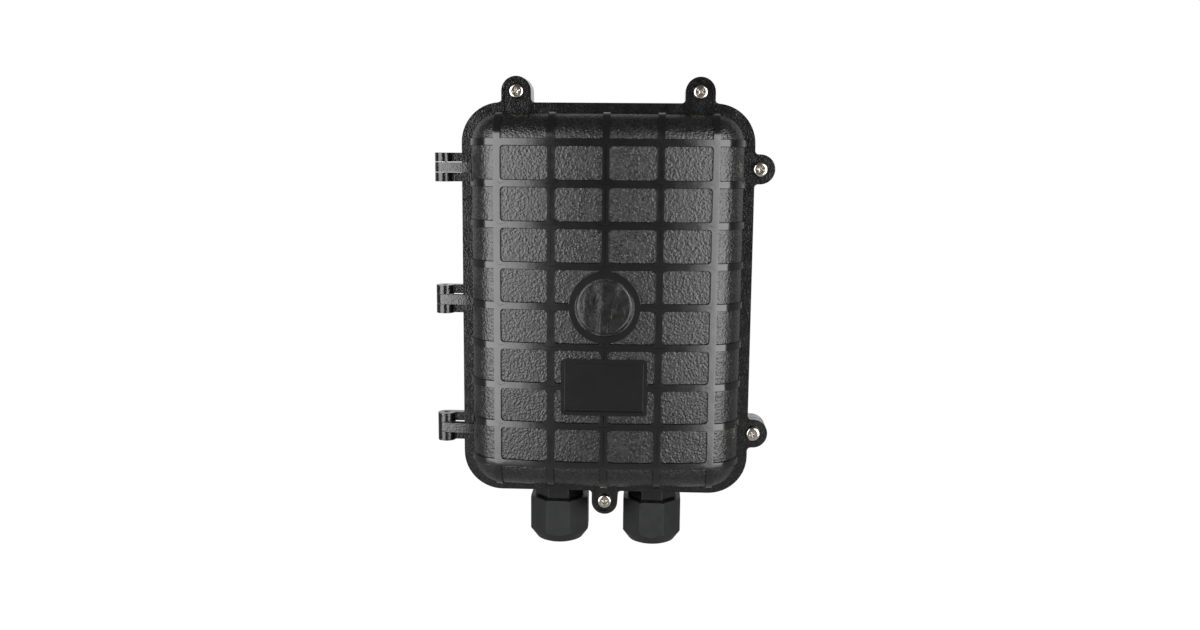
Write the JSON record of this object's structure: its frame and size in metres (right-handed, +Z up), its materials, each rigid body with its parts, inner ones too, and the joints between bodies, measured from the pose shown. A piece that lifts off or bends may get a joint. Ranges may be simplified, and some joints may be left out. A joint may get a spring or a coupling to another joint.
{
  "type": "fibre splice closure",
  "caption": "Flat hinged fibre splice closure: ribbed crowned cover on a deep base, two cable glands below, captive cover screws and a swing-out splice tray.",
  "frame": {"origin": "centre of the four mounting holes in the rear mounting plane", "axes": "+Z up along the closure's height with the glands below, front and cover towards -Y, +Y into the wall, hinges on the -X side"},
  "size_m": [0.1892, 0.0665, 0.2687],
  "materials": {
    "shell": "moulded black ABS, spark-textured panels and satin ribs",
    "gland_nylon": "moulded black nylon, fine matt grain",
    "claw_nylon": "moulded natural nylon",
    "seal_rubber": "black moulded rubber",
    "pin_steel": "drawn steel pin",
    "clamp_steel": "pressed stainless steel",
    "screw_nickel": "nickel-plated steel, bright",
    "brass": "turned brass",
    "tray_plastic": "moulded white ABS",
    "holder_plastic": "moulded dark plastic",
    "clear_lid": "clear polycarbonate"
  },
  "bodies": {
    "base": {"base_shell": "shell", "cover_gasket": "seal_rubber", "hinge_pin_top": "pin_steel", "hinge_pin_middle": "pin_steel", "hinge_pin_bottom": "pin_steel", "threaded_inserts": "brass", "gland_body_left": "gland_nylon", "gland_body_right": "gland_nylon", "gland_seal_left": "seal_rubber", "gland_seal_right": "seal_rubber", "gland_claw_left": "claw_nylon", "gland_claw_right": "claw_nylon", "gland_lock_nut_left": "gland_nylon", "gland_lock_nut_right": "gland_nylon", "gland_face_seal_left": "seal_rubber", "gland_face_seal_right": "seal_rubber", "tray_bracket": "shell", "tray_pivot_pin": "pin_steel", "bracket_screws": "screw_nickel", "cable_clamp_left": "clamp_steel", "cable_clamp_right": "clamp_steel", "clamp_screws": "screw_nickel"},
    "cover": {"cover_shell": "shell"},
    "tray": {"splice_tray": "tray_plastic", "tray_lid": "clear_lid", "splice_holder_left": "holder_plastic", "splice_holder_right": "holder_plastic"},
    "cover_screw_top_left": {"cover_screw_top_left": "screw_nickel"},
    "cover_screw_top_right": {"cover_screw_top_right": "screw_nickel"},
    "cover_screw_upper_right": {"cover_screw_upper_right": "screw_nickel"},
    "cover_screw_lower_right": {"cover_screw_lower_right": "screw_nickel"},
    "cover_screw_bottom": {"cover_screw_bottom": "screw_nickel"},
    "gland_nut_left": {"gland_nut_left": "gland_nylon"},
    "gland_nut_right": {"gland_nut_right": "gland_nylon"}
  },
  "joints": [
    {"name": "cover_hinge", "type": "hinge", "parent": "base", "child": "cover", "pos_m": [-0.092, -0.03625, 0], "axis": [0, 0, -1], "range_deg": [0, 170]},
    {"name": "tray_hinge", "type": "hinge", "parent": "base", "child": "tray", "pos_m": [-0.061, -0.031, 0.009], "axis": [0, 0, -1], "range_deg": [0, 85]},
    {"name": "cover_screw_top_left_out", "type": "slide", "parent": "cover", "child": "cover_screw_top_left", "axis": [0, -1, 0], "range_m": [0, 0.006]},
    {"name": "cover_screw_top_right_out", "type": "slide", "parent": "cover", "child": "cover_screw_top_right", "axis": [0, -1, 0], "range_m": [0, 0.006]},
    {"name": "cover_screw_upper_right_out", "type": "slide", "parent": "cover", "child": "cover_screw_upper_right", "axis": [0, -1, 0], "range_m": [0, 0.006]},
    {"name": "cover_screw_lower_right_out", "type": "slide", "parent": "cover", "child": "cover_screw_lower_right", "axis": [0, -1, 0], "range_m": [0, 0.006]},
    {"name": "cover_screw_bottom_out", "type": "slide", "parent": "cover", "child": "cover_screw_bottom", "axis": [0, -1, 0], "range_m": [0, 0.006]},
    {"name": "gland_nut_left_off", "type": "slide", "parent": "base", "child": "gland_nut_left", "axis": [0, 0, -1], "range_m": [0, 0.02]},
    {"name": "gland_nut_right_off", "type": "slide", "parent": "base", "child": "gland_nut_right", "axis": [0, 0, -1], "range_m": [0, 0.02]}
  ],
  "couplings": [
    {"joint": "tray_hinge", "follows": "cover_hinge", "ratio": 0.5}
  ]
}
